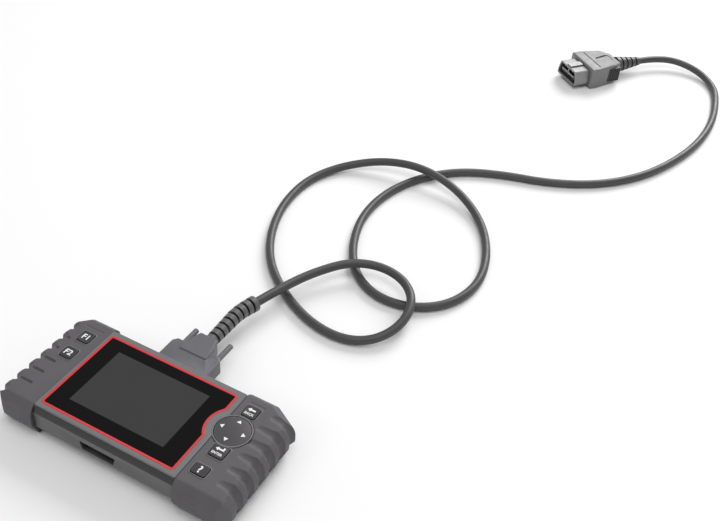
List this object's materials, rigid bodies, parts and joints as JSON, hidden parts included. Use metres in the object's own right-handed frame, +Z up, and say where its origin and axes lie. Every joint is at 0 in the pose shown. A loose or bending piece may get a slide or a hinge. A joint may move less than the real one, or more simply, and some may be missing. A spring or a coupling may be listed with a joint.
{
  "type": "obd code reader",
  "caption": "Handheld vehicle fault code reader with colour display, function keys, arrow pad, end grips and a cable to the vehicle's diagnostic plug",
  "frame": {"origin": "bottom centre of the handset without its cable, on the surface it rests on", "axes": "+X along the handset's length towards the arrow pad, +Y from the user's edge to the cable edge, +Z up out of the display"},
  "size_m": [0.3674, 0.8592, 0.0339],
  "materials": {
    "case_grey": "satin moulded",
    "case_dark": "satin moulded",
    "grip_rubber": "fine matt grain",
    "frame_silver": "satin",
    "trim_red": "satin",
    "window_dark": "polished",
    "lcd_glass": "satin",
    "metal_steel": "plated",
    "ribbon_amber": "film",
    "board_green": "solder mask",
    "parts_black": "moulded",
    "mat_silicone": "soft",
    "key_rubber": "matt",
    "pad_rubber": "matt",
    "ring_silver": "satin",
    "contact_gold": "plated",
    "hood_grey": "moulded",
    "screw_grey": "moulded",
    "boot_rubber": "matt",
    "cord_jacket": "matt",
    "plug_grey": "moulded",
    "nose_grey": "moulded",
    "insert_black": "matt"
  },
  "bodies": {
    "handset": {"lower_case": "case_grey", "upper_case": "case_dark", "left_grip": "grip_rubber", "right_grip": "grip_rubber", "bezel_frame": "frame_silver", "red_trim": "trim_red", "display_window": "window_dark", "lcd_panel": "lcd_glass", "lcd_carrier": "metal_steel", "display_ribbon": "ribbon_amber", "upper_board": "board_green", "main_board": "board_green", "board_components": "parts_black", "board_connector": "parts_black", "buzzer": "parts_black", "left_keymat": "mat_silicone", "right_keymat": "mat_silicone", "pad_post": "parts_black", "pad_ring": "ring_silver", "usb_socket": "metal_steel", "card_reader": "metal_steel", "port_shell": "metal_steel", "port_insulator": "parts_black", "port_pins": "contact_gold", "jack_posts": "metal_steel", "case_screws": "metal_steel", "board_screws": "metal_steel"},
    "cable": {"hood": "hood_grey", "hood_shell": "metal_steel", "hood_insulator": "parts_black", "hood_contacts": "contact_gold", "cable_boot": "boot_rubber", "lead_cord": "cord_jacket", "plug_boot": "boot_rubber", "plug_body": "plug_grey", "plug_nose": "nose_grey", "plug_blades": "metal_steel", "plug_grip_left": "insert_black", "plug_grip_right": "insert_black"},
    "thumbscrew_left": {"thumbscrew_left": "screw_grey"},
    "thumbscrew_right": {"thumbscrew_right": "screw_grey"},
    "memory_card": {"memory_card": "parts_black"},
    "pad_pivot": {"pad_pivot": "metal_steel"},
    "pad_disc": {"pad_disc": "pad_rubber"},
    "key_f1": {"key_f1": "key_rubber"},
    "key_f2": {"key_f2": "key_rubber"},
    "key_back": {"key_back": "key_rubber"},
    "key_enter": {"key_enter": "key_rubber"},
    "key_help": {"key_help": "key_rubber"}
  },
  "joints": [
    {"name": "key_f1_press", "type": "slide", "parent": "handset", "child": "key_f1", "axis": [0, 0, -1], "range_m": [0, 0.001], "stiffness_N_per_m": 400, "springref_m": -0.0005},
    {"name": "key_f2_press", "type": "slide", "parent": "handset", "child": "key_f2", "axis": [0, 0, -1], "range_m": [0, 0.001], "stiffness_N_per_m": 400, "springref_m": -0.0005},
    {"name": "key_back_press", "type": "slide", "parent": "handset", "child": "key_back", "axis": [0, 0, -1], "range_m": [0, 0.001], "stiffness_N_per_m": 400, "springref_m": -0.0005},
    {"name": "key_enter_press", "type": "slide", "parent": "handset", "child": "key_enter", "axis": [0, 0, -1], "range_m": [0, 0.001], "stiffness_N_per_m": 400, "springref_m": -0.0005},
    {"name": "key_help_press", "type": "slide", "parent": "handset", "child": "key_help", "axis": [0, 0, -1], "range_m": [0, 0.001], "stiffness_N_per_m": 400, "springref_m": -0.0005},
    {"name": "pad_tilt_up_down", "type": "hinge", "parent": "handset", "child": "pad_pivot", "pos_m": [0.0687, 0.0092, 0.0295], "axis": [1, 0, 0], "range_deg": [-4, 4], "stiffness_Nm_per_rad": 0.4},
    {"name": "pad_tilt_left_right", "type": "hinge", "parent": "pad_pivot", "child": "pad_disc", "pos_m": [0.0687, 0.0092, 0.0295], "axis": [0, 1, 0], "range_deg": [-4, 4], "stiffness_Nm_per_rad": 0.4},
    {"name": "card_eject", "type": "slide", "parent": "handset", "child": "memory_card", "axis": [0, -1, 0], "range_m": [0, 0.012]},
    {"name": "cable_unplug", "type": "slide", "parent": "handset", "child": "cable", "axis": [0, 1, 0], "range_m": [0, 0.015]},
    {"name": "thumbscrew_left_turn", "type": "hinge", "parent": "cable", "child": "thumbscrew_left", "pos_m": [-0.02165, 0.07, 0.0195], "axis": [0, 1, 0], "continuous": true},
    {"name": "thumbscrew_right_turn", "type": "hinge", "parent": "cable", "child": "thumbscrew_right", "pos_m": [0.01165, 0.07, 0.0195], "axis": [0, 1, 0], "continuous": true}
  ]
}
